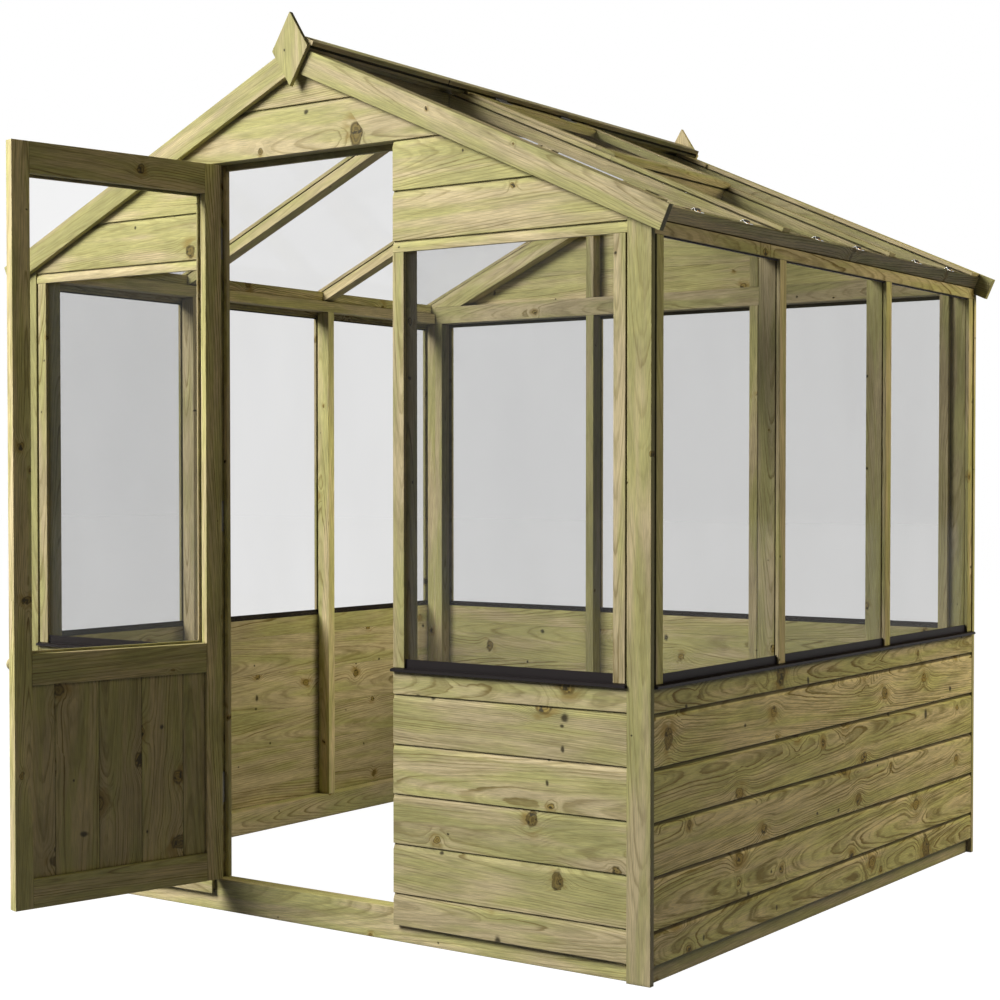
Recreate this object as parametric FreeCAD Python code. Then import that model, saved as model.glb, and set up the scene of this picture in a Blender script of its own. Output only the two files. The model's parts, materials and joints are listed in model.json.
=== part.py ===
import FreeCAD, Part
import math
import os

V = FreeCAD.Vector

# Walls, mm. Heights are from the ground, DEPTH runs from the front trims to the rear trims.
HALF_W = 967.0
DEPTH = 1800.0
WALL_TOP = 1602.0
TRIM_W = 59.0
TRIM_T = 15.0
TRIM_PROUD = 2.0
SIDE_PROUD = 1.0
BOARD_T = 13.0
STUD_W = 28.0
STUD_D = 44.0
BASE_H = 77.0
SIDE_BASE_H = 70.0
REAR_STUD_X = 292.0

# Shiplap cladding
COVER = 114.0
LAP = 10.0
LIP_T = 5.0
SHOULDER = 12.0
SHOULDER_GAP = 2.0
CLAD_BOTTOM = 41.0
FIRST_JOINT = 115.0
SILL_Z = 623.0

# Windows
GLASS_T = 4.0
GLASS_D = 9.0
SILL_T = 8.0
SILL_SEAT = 12.0
SILL_NOSE = 10.0
SILL_NOSE_T = 6.0
UPSTAND_H = 20.0
UPSTAND_T = 3.0
HEAD_DROP = 27.0
SIDE_HEAD_DROP = 32.0
HEAD_STRIP = 26.0
HEAD_REBATE = 10.0
SIDE_REBATE = 8.0
HEAD_RAIL_H = 56.0
BATTEN_GAP = 3.0
PLATE_H = 32.0
PLATE_RISE = 17.0
PANE_GAP = 4.0
PANE_INSET = 6.0
BEAD_W = 32.0
END_BEAD_W = 30.0
END_GAP = 5.0
SIDE_BEAD_W = 34.0
SIDE_END_BEAD_W = 29.0
SIDE_END_GAP = 8.0

# Roof. s runs down a slope from the ridge, h stands square off the rafter tops.
SLOPE = 0.45
RAFTER_W = 40.0
RAFTER_H = 28.0
GABLE_RAFTER_H = 58.0
RAFTER_SET = 42.0
RIDGE_HALF = 14.0
RIDGE_H = 61.0
PANE_SET = 2.0
EAVES_LIP = 10.0
PANE_TOP_S = 16.0
PANE_EDGE = 22.0
TONGUE = 6.0
CAP_W = 36.0
CAP_T = 10.0
CAP_TOP_S = 18.0
CAP_REACH = 6.0
EDGE_CAP_W = 49.0
SPACER_T = 13.0
SPACER_S = 46.0
SPACER_LIP = 7.0
GROOVE_D = 20.0
RIDGE_CAP_T = 11.0
RIDGE_CAP_S = 52.0
BARGE_T = 16.0
BARGE_H = 58.0
BARGE_REACH = 51.0
FINIAL_T = 12.0
FINIAL_HALF = 55.0
FINIAL_LEG = 87.0
FINIAL_RISE = 2.0
CLIP_SHARES = (0.29, 0.68)
CLIP_W = 22.0
CLIP_T = 1.2
CLIP_HOLD = 10.0
SCREW_R = 5.0
SCREW_H = 2.6
SCREW_TAPER = 0.6

# Roof vent in the middle bay of the right slope
VENT_PLAY = 2.0
VENT_TOP_S = 61.0
VENT_L = 467.0
VENT_T = 22.0
VENT_STILE = 44.0
VENT_RAIL = 42.0
VENT_LIP = 20.0
VENT_LIP_H = 5.0
VENT_DRIP = 8.0
VENT_REBATE = 8.0
HINGE_GAP = 6.0
TRIMMER_W = 40.0
TRIMMER_BACK = 23.0
LOWER_PANE_GAP = 6.0
VENT_HINGE_INSET = 141.0
VENT_HINGE_L = 50.0
VENT_LEAF_W = 20.0
VENT_LEAF_T = 2.0
VENT_KNUCKLE_R = 3.5
VENT_PIN_R = 1.7

# Door, drawn shut and then swung open
OPENING = 283.0
CLAD_SHY = 1.0
DOOR_DROP = 241.0
DOOR_FOOT_GAP = 4.0
DOOR_HEAD_GAP = 6.0
DOOR_HEAD_H = 29.0
DOOR_HINGE_GAP = 4.0
DOOR_SHUT_GAP = 7.0
DOOR_T = 26.0
DOOR_SET = 6.0
DOOR_STILE = 45.0
DOOR_TOP_RAIL = 72.0
DOOR_MID_RAIL = 71.0
MID_RAIL_RISE = 4.0
DOOR_FOOT_RAIL = 68.0
DOOR_REBATE = 8.0
BEAD_OUT = 8.0
DOOR_BEAD_W = 16.0
BEAD_CHAMFER = 3.0
BEAD_LAP = 2.0
PANEL_SET = 6.0
PANEL_T = 10.0
PANEL_V = 2.0
PANEL_TONGUE = 5.0
PANEL_TONGUE_T = 3.0
STOP_W = 12.0
STOP_GAP = 0.5
STOP_HEAD = 14.0
DOOR_HINGE_FOOT = 181.5
DOOR_HINGE_HEAD = 222.5
DOOR_HINGE_L = 75.0
DOOR_LEAF_W = 24.0
DOOR_LEAF_T = 1.5
DOOR_KNUCKLE_R = 3.2
DOOR_PIN_R = 1.6
DOOR_PIN_OUT = 3.5
DOOR_OPEN_DEG = 103.6
KNOB_R = 16.5
KNOB_L = 32.0
KNOB_RISE = 16.0
PIN_PLAY = 0.05
KNUCKLE_PLAY = 0.2
LEAF_PLAY = 0.5

# Lines that follow from the sizes above
PITCH = math.atan(SLOPE)
COS = math.cos(PITCH)
SIN = math.sin(PITCH)
FACE_Y = TRIM_PROUD
FACE_X = HALF_W - SIDE_PROUD
TRIM_X = HALF_W - TRIM_W
END_X = TRIM_X - END_GAP
INNER_X = FACE_X - BOARD_T - STUD_D
BACK = BOARD_T + STUD_D
WALL_A0 = TRIM_T
WALL_A1 = DEPTH - TRIM_T
ORIGIN_Y = TRIM_T + STUD_D / 2
HEAD_Z = WALL_TOP - HEAD_DROP
SIDE_HEAD_Z = WALL_TOP - SIDE_HEAD_DROP
HEAD_RAIL_Z = HEAD_Z + HEAD_REBATE
HEAD_RAIL_TOP = HEAD_RAIL_Z + HEAD_RAIL_H
GLASS_Z = SILL_Z + SILL_SEAT
SILL_TOP = SILL_Z + SILL_T
UPSTAND_Z = SILL_TOP + UPSTAND_H
PLATE_TOP = WALL_TOP + PLATE_RISE
PLATE_Z = PLATE_TOP - PLATE_H
RAFTER_END_X = HALF_W - RAFTER_SET
RIDGE_Z = PLATE_TOP + SLOPE * RAFTER_END_X + RAFTER_H / COS
EAVES_S = (HALF_W - PANE_SET) / COS
CAP_END_S = EAVES_S + CAP_REACH
BARGE_S = EAVES_S + BARGE_REACH
SPACER_H = GLASS_T + CAP_T
RIDGE_CAP_H = SPACER_H + SPACER_T
BARGE_UNDER = SPACER_H - BARGE_H
MID_STUDS = (DEPTH / 3, DEPTH * 2 / 3)
STUD_LINES = (WALL_A0 + STUD_W / 2,) + MID_STUDS + (WALL_A1 - STUD_W / 2,)
PANE_EDGES = ((PANE_EDGE, MID_STUDS[0] - TONGUE / 2), (MID_STUDS[0] + TONGUE / 2, MID_STUDS[1] - TONGUE / 2),
              (MID_STUDS[1] + TONGUE / 2, DEPTH - PANE_EDGE))
VENT_Y = (MID_STUDS[0] + VENT_PLAY, MID_STUDS[1] - VENT_PLAY)
VENT_END_S = VENT_TOP_S + VENT_L
HINGE_BOARD_S = VENT_TOP_S - HINGE_GAP
VENT_PIN = (VENT_TOP_S - HINGE_GAP / 2, VENT_T + VENT_LEAF_T + LEAF_PLAY)
CLIP_Y = [y0 + (y1 - y0) * share for y0, y1 in PANE_EDGES for share in CLIP_SHARES]
CLAD_END = OPENING + CLAD_SHY
DOOR_W = 2 * OPENING - DOOR_HINGE_GAP - DOOR_SHUT_GAP
DOOR_X = DOOR_HINGE_GAP - OPENING
DOOR_Y = TRIM_T + DOOR_SET
DOOR_FOOT = BASE_H + DOOR_FOOT_GAP
DOOR_TOP = RIDGE_Z - DOOR_DROP
DOOR_HEAD_Z = DOOR_TOP + DOOR_HEAD_GAP
MID_RAIL_Z = SILL_Z + MID_RAIL_RISE - DOOR_MID_RAIL / 2
DOOR_RAILS = ((DOOR_FOOT, DOOR_FOOT + DOOR_FOOT_RAIL), (MID_RAIL_Z, MID_RAIL_Z + DOOR_MID_RAIL),
              (DOOR_TOP - DOOR_TOP_RAIL, DOOR_TOP))
DOOR_PIN = (DOOR_X - DOOR_HINGE_GAP / 2, DOOR_Y - DOOR_PIN_OUT)
HINGE_LOW = DOOR_FOOT + DOOR_HINGE_FOOT
HINGE_HIGH = DOOR_TOP - DOOR_HINGE_HEAD
DOOR_HINGE_Z = (HINGE_LOW, (HINGE_LOW + HINGE_HIGH) / 2, HINGE_HIGH)


def poly_prism(points, along):
    face = Part.Face(Part.makePolygon(points + [points[0]]))
    return face.extrude(along)


def box(x0, x1, y0, y1, z0, z1):
    return Part.makeBox(x1 - x0, y1 - y0, z1 - z0, V(x0, y0, z0))


def mirrored(solid):
    return solid.mirror(V(0, 0, 0), V(1, 0, 0))


def both_sides(solids):
    return solids + [mirrored(one) for one in solids]


def wall_point(wall, a, d, z):
    """a along the wall, d inward from the cladding face, z up."""
    if wall == "front":
        return V(a, FACE_Y + d, z)
    if wall == "rear":
        return V(a, DEPTH - FACE_Y - d, z)
    if wall == "right":
        return V(FACE_X - d, a, z)
    return V(-FACE_X + d, a, z)


def wall_prism(wall, profile, a0, a1):
    points = [wall_point(wall, a0, d, z) for d, z in profile]
    return poly_prism(points, wall_point(wall, a1, 0, 0) - wall_point(wall, a0, 0, 0))


def wall_box(wall, a0, a1, d0, d1, z0, z1):
    return wall_prism(wall, [(d0, z0), (d1, z0), (d1, z1), (d0, z1)], a0, a1)


def slope_point(side, s, h, y):
    return V(side * (s * COS + h * SIN), y, RIDGE_Z - s * SIN + h * COS)


def slope_prism(side, profile, y0, y1):
    points = [slope_point(side, s, h, y0) for s, h in profile]
    return poly_prism(points, V(0, y1 - y0, 0))


def slope_box(side, s0, s1, h0, h1, y0, y1):
    return slope_prism(side, [(s0, h0), (s1, h0), (s1, h1), (s0, h1)], y0, y1)


def mitred_board(side, s_end, h0, h1, y0, y1):
    """A board along a slope, cut plumb at the ridge and square at s_end."""
    points = [V(0, y0, RIDGE_Z + h0 / COS), slope_point(side, s_end, h0, y0),
              slope_point(side, s_end, h1, y0), V(0, y0, RIDGE_Z + h1 / COS)]
    return poly_prism(points, V(0, y1 - y0, 0))


def spacer(side, y0, y1):
    """Rebated board between the rafter caps and the ridge cap, leaving a groove under the cap."""
    lip = SPACER_H + SPACER_LIP
    back = SPACER_S - GROOVE_D
    lower = mitred_board(side, SPACER_S, SPACER_H, lip, y0, y1)
    return lower.fuse(mitred_board(side, back, lip, RIDGE_CAP_H, y0, y1)).removeSplitter().Solids[0]


def under_roof(h):
    """Everything below both roof planes at height h off the rafter tops."""
    far = 2 * HALF_W
    top = RIDGE_Z + h / COS
    points = [V(0, 0, top), V(far, 0, top - SLOPE * far), V(far, 0, -far),
              V(-far, 0, -far), V(-far, 0, top - SLOPE * far)]
    return poly_prism(points, V(0, DEPTH, 0))


def shiplap(z0, cover, lip=LIP_T, tongue=True):
    """Board section: sloped shoulder at the top, tongue behind the next lip, rebate below."""
    top = z0 + cover
    section = [(0, z0), (0, top), (BOARD_T, top)]
    if tongue:
        shoulder = top - SHOULDER_GAP
        section = [(0, z0), (0, shoulder - SHOULDER), (LIP_T, shoulder), (LIP_T, top + LAP),
                   (BOARD_T, top + LAP)]
    return section + [(BOARD_T, z0 + LAP), (lip, z0 + LAP), (lip, z0)]


def cladding(wall, a0, a1):
    """Lower shiplap of one wall; the top board is rebated for the sill and carries the panes."""
    joints = [CLAD_BOTTOM, FIRST_JOINT]
    while joints[-1] + COVER < SILL_Z:
        joints.append(joints[-1] + COVER)
    boards = [wall_prism(wall, shiplap(z0, z1 - z0), a0, a1) for z0, z1 in zip(joints, joints[1:])]
    low = joints[-1]
    last = [(0, low), (0, SILL_Z), (GLASS_D, SILL_Z), (GLASS_D, GLASS_Z), (BOARD_T, GLASS_Z),
            (BOARD_T, low + LAP), (LIP_T, low + LAP), (LIP_T, low)]
    return boards + [wall_prism(wall, last, a0, a1)]


def gable_boards(wall, opening):
    """Boards over the windows, cut to the roof; the front ones leave the doorway free."""
    joints = [HEAD_Z, HEAD_Z + HEAD_STRIP]
    while joints[-1] + COVER < RIDGE_Z - BARGE_H:
        joints.append(joints[-1] + COVER)
    cut = under_roof(0)
    boards = []
    for z0, z1 in zip(joints, joints[1:] + [RIDGE_Z]):
        section = shiplap(z0, z1 - z0, GLASS_D if z0 == HEAD_Z else LIP_T, z1 < RIDGE_Z)
        spans = [(-TRIM_X, TRIM_X)]
        if opening and z0 < DOOR_HEAD_Z - LAP:
            spans = [(-TRIM_X, -CLAD_END), (CLAD_END, TRIM_X)]
        for a0, a1 in spans:
            boards.append(wall_prism(wall, section, a0, a1).common(cut).Solids[0])
    return boards


def corner_trims(wall):
    post = wall_box(wall, TRIM_X, HALF_W, -TRIM_PROUD, BOARD_T, 0, RIDGE_Z)
    return both_sides([post.common(under_roof(BARGE_UNDER)).Solids[0]])


def sill(wall, a0, a1):
    """Dark sill: drip nose outside, upstand in front of the pane."""
    front = GLASS_D - UPSTAND_T
    section = [(-SILL_NOSE, SILL_Z), (GLASS_D, SILL_Z), (GLASS_D, UPSTAND_Z), (front, UPSTAND_Z),
               (front, SILL_TOP), (0, SILL_TOP), (-SILL_NOSE, SILL_Z + SILL_NOSE_T)]
    return wall_prism(wall, section, a0, a1)


def bead(wall, a0, a1, top):
    """Upright glazing bead, notched over the sill's upstand."""
    notch = GLASS_D - UPSTAND_T
    section = [(0, SILL_TOP), (notch, SILL_TOP), (notch, UPSTAND_Z), (GLASS_D, UPSTAND_Z),
               (GLASS_D, top), (0, top)]
    return wall_prism(wall, section, a0, a1)


def pane(wall, a0, a1, top):
    return wall_box(wall, a0, a1, GLASS_D, GLASS_D + GLASS_T, GLASS_Z, top)


def stud(wall, centre, z0, z1):
    half = STUD_W / 2
    return wall_box(wall, centre - half, centre + half, BOARD_T, BACK, z0, z1)


def to_rafter(wall, centre, z0):
    """A stud cut to the underside of the gable rafters."""
    return stud(wall, centre, z0, RIDGE_Z).common(under_roof(-GABLE_RAFTER_H)).Solids[0]


def tube(r, z0, z1):
    return Part.makeCylinder(r, z1 - z0, V(0, 0, z0))


def hinge_leaf(plate, tab, knuckles, r, bore, length):
    """A leaf about a pin on local Z: flat plate, rolled knuckles and the tabs that join them."""
    leaf = box(plate[0], plate[1], plate[2], plate[3], 0, length)
    for z0, z1 in knuckles:
        leaf = leaf.fuse(tube(r, z0, z1)).fuse(box(tab[0], tab[1], tab[2], tab[3], z0, z1))
    return leaf.cut(tube(bore, 0, length)).removeSplitter().Solids[0]


def knuckle_spans(length):
    """Two knuckles on the fixed leaf and one between them on the moving leaf."""
    third = length / 3
    fixed = [(0, third - KNUCKLE_PLAY), (2 * third + KNUCKLE_PLAY, length)]
    return fixed, [(third + KNUCKLE_PLAY, 2 * third - KNUCKLE_PLAY)]


def walls():
    outer = INNER_X - STUD_W / 2
    jamb = OPENING + STUD_W / 2
    base = [wall_box("front", -INNER_X, INNER_X, BOARD_T, BACK, 0, BASE_H)]
    emit("base_rail_front", base)
    rear_base = wall_box("rear", -INNER_X, INNER_X, BOARD_T, BACK, 0, BASE_H)
    side_base = wall_box("right", WALL_A0, WALL_A1, BOARD_T, BACK, 0, SIDE_BASE_H)
    emit("base_rails", [rear_base] + both_sides([side_base]))
    emit("corner_trims_front", corner_trims("front"))
    emit("corner_trims_rear", corner_trims("rear"))

    studs = [stud("front", outer, BASE_H, HEAD_RAIL_Z), to_rafter("front", jamb, BASE_H)]
    studs = both_sides(studs)
    studs[3] = studs[3].cut(hinge_reliefs())
    emit("front_studs", studs)
    window_head = wall_box("front", OPENING + STUD_W, INNER_X, BOARD_T, BACK, HEAD_RAIL_Z, HEAD_RAIL_TOP)
    door_head = wall_box("front", -OPENING, OPENING, BOARD_T, BACK, DOOR_HEAD_Z,
                         DOOR_HEAD_Z + DOOR_HEAD_H)
    emit("front_rails", both_sides([window_head]) + [door_head])
    back = FACE_Y + BACK
    stop_y = DOOR_Y + DOOR_T + STOP_GAP
    inside = OPENING - STOP_W
    jamb_stop = box(inside, OPENING, stop_y, back, BASE_H, DOOR_HEAD_Z)
    head_stop = box(-inside, inside, stop_y, back, DOOR_HEAD_Z - STOP_HEAD, DOOR_HEAD_Z)
    emit("door_stops", both_sides([jamb_stop]) + [head_stop])

    emit("front_cladding_right", cladding("front", CLAD_END, TRIM_X))
    emit("front_cladding_left", cladding("front", -TRIM_X, -CLAD_END))
    emit("front_gable_boards", gable_boards("front", True))
    glass_top = HEAD_Z + HEAD_REBATE
    emit("front_panes", both_sides([pane("front", CLAD_END + PANE_INSET, TRIM_X - PANE_INSET, glass_top)]))
    front_beads = [bead("front", CLAD_END, CLAD_END + BEAD_W, HEAD_Z),
                   bead("front", END_X - END_BEAD_W, END_X, HEAD_Z)]
    emit("front_beads", both_sides(front_beads))

    lower = both_sides([stud("rear", outer, BASE_H, HEAD_RAIL_Z),
                        stud("rear", REAR_STUD_X, BASE_H, HEAD_RAIL_Z)])
    emit("rear_studs", lower + both_sides([to_rafter("rear", REAR_STUD_X, HEAD_RAIL_TOP)]))
    emit("rear_rail", [wall_box("rear", -INNER_X, INNER_X, BOARD_T, BACK, HEAD_RAIL_Z, HEAD_RAIL_TOP)])
    emit("rear_cladding", cladding("rear", -TRIM_X, TRIM_X))
    emit("rear_gable_boards", gable_boards("rear", False))
    side_light = pane("rear", REAR_STUD_X + PANE_GAP / 2, TRIM_X - PANE_INSET, glass_top)
    centre = REAR_STUD_X - PANE_GAP / 2
    emit("rear_panes", both_sides([side_light]) + [pane("rear", -centre, centre, glass_top)])
    rear_beads = [bead("rear", END_X - END_BEAD_W, END_X, HEAD_Z),
                  bead("rear", REAR_STUD_X - BEAD_W / 2, REAR_STUD_X + BEAD_W / 2, HEAD_Z)]
    emit("rear_beads", both_sides(rear_beads))

    side = [stud("right", a, SIDE_BASE_H, PLATE_Z) for a in STUD_LINES]
    emit("side_studs", both_sides(side))
    plate = wall_box("right", WALL_A0, WALL_A1, BOARD_T, BACK, PLATE_Z, PLATE_TOP)
    emit("wall_plates", both_sides([plate]))
    emit("side_cladding_right", cladding("right", WALL_A0, WALL_A1))
    emit("side_cladding_left", cladding("left", WALL_A0, WALL_A1))
    side_top = SIDE_HEAD_Z + SIDE_REBATE
    half = PANE_GAP / 2
    edges = [WALL_A0 + half] + [a for c in MID_STUDS for a in (c - half, c + half)] + [WALL_A1 - half]
    panes = [pane("right", a0, a1, side_top) for a0, a1 in zip(edges[::2], edges[1::2])]
    emit("side_panes", both_sides(panes))
    first, last = WALL_A0 + SIDE_END_GAP, WALL_A1 - SIDE_END_GAP
    spans = [(c - SIDE_BEAD_W / 2, c + SIDE_BEAD_W / 2) for c in MID_STUDS]
    spans += [(first, first + SIDE_END_BEAD_W), (last - SIDE_END_BEAD_W, last)]
    emit("side_beads", both_sides([bead("right", a0, a1, SIDE_HEAD_Z) for a0, a1 in spans]))
    batten = [(0, SIDE_HEAD_Z), (GLASS_D, SIDE_HEAD_Z), (GLASS_D, side_top), (BOARD_T, side_top),
              (BOARD_T, WALL_TOP - BATTEN_GAP), (0, WALL_TOP - BATTEN_GAP)]
    emit("side_top_battens", both_sides([wall_prism("right", batten, WALL_A0, WALL_A1)]))

    sills = [sill("front", OPENING, TRIM_X), sill("front", -TRIM_X, -CLAD_END - PANE_INSET),
             sill("rear", -TRIM_X, TRIM_X)]
    emit("sills", sills + both_sides([sill("right", WALL_A0, WALL_A1)]))


def hinge_reliefs():
    """Room in the hinge-side jamb for the knuckles."""
    r = DOOR_KNUCKLE_R + LEAF_PLAY
    holes = [Part.makeCylinder(r, DOOR_HINGE_L + 2 * LEAF_PLAY, V(DOOR_PIN[0], DOOR_PIN[1], z - LEAF_PLAY))
             for z in DOOR_HINGE_Z]
    return Part.makeCompound(holes)


def gable_rafter(y0, y1):
    """Deep rafter behind the gable boards, seated on the head rail and the wall plate."""
    under = RIDGE_Z - GABLE_RAFTER_H / COS
    foot = (under - HEAD_RAIL_TOP) / SLOPE
    outline = [(RIDGE_HALF, under - SLOPE * RIDGE_HALF), (foot, HEAD_RAIL_TOP), (INNER_X, HEAD_RAIL_TOP),
               (INNER_X, PLATE_TOP), (RAFTER_END_X, PLATE_TOP),
               (RAFTER_END_X, RIDGE_Z - SLOPE * RAFTER_END_X), (RIDGE_HALF, RIDGE_Z - SLOPE * RIDGE_HALF)]
    return poly_prism([V(x, y0, z) for x, z in outline], V(0, y1 - y0, 0))


def rafter(y):
    under = RIDGE_Z - RAFTER_H / COS
    outline = [(RIDGE_HALF, under - SLOPE * RIDGE_HALF), (RAFTER_END_X, under - SLOPE * RAFTER_END_X),
               (RAFTER_END_X, RIDGE_Z - SLOPE * RAFTER_END_X), (RIDGE_HALF, RIDGE_Z - SLOPE * RIDGE_HALF)]
    y0 = y - RAFTER_W / 2
    return poly_prism([V(x, y0, z) for x, z in outline], V(0, RAFTER_W, 0))


def cap(side, y0, y1, tongue, s0, s1):
    """Batten over the pane edges, with a tongue down to the rafter between them."""
    top = slope_box(side, s0, s1, GLASS_T, SPACER_H, y0, y1)
    leg = slope_box(side, s0, min(s1, EAVES_S), 0, GLASS_T, tongue[0], tongue[1])
    return top.fuse(leg).removeSplitter().Solids[0]


def rafter_caps(side):
    """Caps of one slope; beside the vent they are half width."""
    s0, s1 = CAP_TOP_S, CAP_END_S
    rear = DEPTH - FACE_Y
    caps = [cap(side, FACE_Y, FACE_Y + EDGE_CAP_W, (FACE_Y, PANE_EDGE), s0, s1),
            cap(side, rear - EDGE_CAP_W, rear, (DEPTH - PANE_EDGE, rear), s0, s1)]
    for y, away in zip(MID_STUDS, (-1, 1)):
        split = s0
        if side > 0:
            split = VENT_END_S + VENT_LIP + 2 * VENT_PLAY
            near = y + away * (TONGUE / 2 - VENT_PLAY)
            shut = sorted((near, y + away * TONGUE / 2))
            wide = sorted((near, y + away * CAP_W / 2))
            caps.append(cap(side, wide[0], wide[1], shut, s0, split))
        caps.append(cap(side, y - CAP_W / 2, y + CAP_W / 2, (y - TONGUE / 2, y + TONGUE / 2), split, s1))
    return caps


def eaves_rail():
    """Rebated rail over the wall plate and the top batten, with a lip the panes stop against."""
    lip_s = EAVES_S + EAVES_LIP
    lip_h = (WALL_TOP - RIDGE_Z + lip_s * SIN) / COS
    y0 = FACE_Y
    plate_out = FACE_X - BOARD_T
    points = [slope_point(1, lip_s, GLASS_T, y0), slope_point(1, lip_s, lip_h, y0),
              V(plate_out, y0, WALL_TOP), V(plate_out, y0, PLATE_TOP), V(RAFTER_END_X, y0, PLATE_TOP),
              V(RAFTER_END_X, y0, RIDGE_Z - SLOPE * RAFTER_END_X),
              slope_point(1, EAVES_S, 0, y0), slope_point(1, EAVES_S, GLASS_T, y0)]
    return poly_prism(points, V(0, DEPTH - 2 * FACE_Y, 0))


def pane_clip(y):
    """Flat clip lapped from the eaves rail's lip onto the foot of a pane."""
    return slope_box(1, EAVES_S - CLIP_HOLD, EAVES_S + EAVES_LIP - 1, GLASS_T, GLASS_T + CLIP_T,
                     y - CLIP_W / 2, y + CLIP_W / 2)


def clip_screw(y):
    """Round head of the screw that holds a clip to the eaves rail."""
    head = Part.makeCone(SCREW_R, SCREW_R * SCREW_TAPER, SCREW_H)
    foot = slope_point(1, EAVES_S + EAVES_LIP / 2, GLASS_T + CLIP_T, y)
    head.Placement = FreeCAD.Placement(foot, FreeCAD.Rotation(V(0, 0, 1), V(SIN, 0, COS)))
    return head


def finial(y0):
    """Diamond board over the mitre of the bargeboards."""
    mid = RIDGE_Z + FINIAL_RISE
    points = [V(0, y0, mid - FINIAL_LEG), V(FINIAL_HALF, y0, mid), V(0, y0, mid + FINIAL_LEG),
              V(-FINIAL_HALF, y0, mid)]
    return poly_prism(points, V(0, FINIAL_T, 0))


def roof():
    front, rear = WALL_A0, WALL_A1
    deep = [gable_rafter(front, front + STUD_D), gable_rafter(rear - STUD_D, rear)]
    emit("gable_rafters", both_sides(deep))
    emit("rafters", both_sides([rafter(y) for y in MID_STUDS]))
    shoulder = RIDGE_Z - SLOPE * RIDGE_HALF
    soffit = RIDGE_Z - RIDGE_H
    ridge = [V(-RIDGE_HALF, front, soffit), V(RIDGE_HALF, front, soffit),
             V(RIDGE_HALF, front, shoulder), V(0, front, RIDGE_Z), V(-RIDGE_HALF, front, shoulder)]
    emit("ridge_beam", [poly_prism(ridge, V(0, rear - front, 0))])
    emit("eaves_rails", both_sides([eaves_rail()]))

    panes = []
    for side in (-1, 1):
        for k, (y0, y1) in enumerate(PANE_EDGES):
            s0 = VENT_END_S + LOWER_PANE_GAP if side > 0 and k == 1 else PANE_TOP_S
            panes.append(slope_box(side, s0, EAVES_S, 0, GLASS_T, y0, y1))
    emit("roof_panes", panes)
    emit("rafter_caps", rafter_caps(-1) + rafter_caps(1))

    ends = (FACE_Y - BARGE_T, DEPTH - FACE_Y + BARGE_T)
    emit("ridge_spacers", [spacer(-1, ends[0], ends[1]), spacer(1, ends[0], MID_STUDS[0]),
                           spacer(1, MID_STUDS[1], ends[1])])
    top = RIDGE_CAP_H + RIDGE_CAP_T
    emit("ridge_caps", [mitred_board(k, RIDGE_CAP_S, RIDGE_CAP_H, top, ends[0], ends[1]) for k in (-1, 1)])

    for name, y0, y1 in (("front", ends[0], FACE_Y), ("rear", DEPTH - FACE_Y, ends[1])):
        boards = [mitred_board(k, BARGE_S, BARGE_UNDER, SPACER_H, y0, y1) for k in (-1, 1)]
        emit("bargeboards_" + name, boards)
    emit("finial_front", [finial(ends[0] - FINIAL_T)])
    emit("finial_rear", [finial(ends[1])])
    emit("pane_clips", both_sides([pane_clip(y) for y in CLIP_Y]))
    emit("clip_screws", both_sides([clip_screw(y) for y in CLIP_Y]))


def vent_hinges():
    """Butt hinges laid flat over the gap between the hinge board and the vent."""
    r, bore = VENT_KNUCKLE_R, VENT_PIN_R + PIN_PLAY
    fixed_spans, moving_spans = knuckle_spans(VENT_HINGE_L)
    near = r + LEAF_PLAY
    far = near + VENT_LEAF_W
    low, high = -VENT_LEAF_T - LEAF_PLAY, -LEAF_PLAY
    fixed = hinge_leaf((-far, -near, low, high), (-near, 0, low, high), fixed_spans, r, bore, VENT_HINGE_L)
    moving = hinge_leaf((near, far, low, high), (0, near, low, high), moving_spans, r, bore, VENT_HINGE_L)
    pin = tube(VENT_PIN_R, 0, VENT_HINGE_L)
    placed = {"fixed": [], "moving": [], "pins": []}
    inset = VENT_HINGE_INSET + VENT_HINGE_L / 2
    for y in (VENT_Y[0] + inset, VENT_Y[1] - inset + VENT_HINGE_L):
        at = slope_point(1, VENT_PIN[0], VENT_PIN[1], y)
        turn = FreeCAD.Matrix(COS, SIN, 0, at.x, 0, 0, -1, at.y, -SIN, COS, 0, at.z, 0, 0, 0, 1)
        for key, shape in (("fixed", fixed), ("moving", moving), ("pins", pin)):
            one = shape.copy()
            one.Placement = FreeCAD.Placement(turn)
            placed[key].append(one)
    for key, solids in placed.items():
        emit("vent_hinge_" + key, solids)


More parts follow.
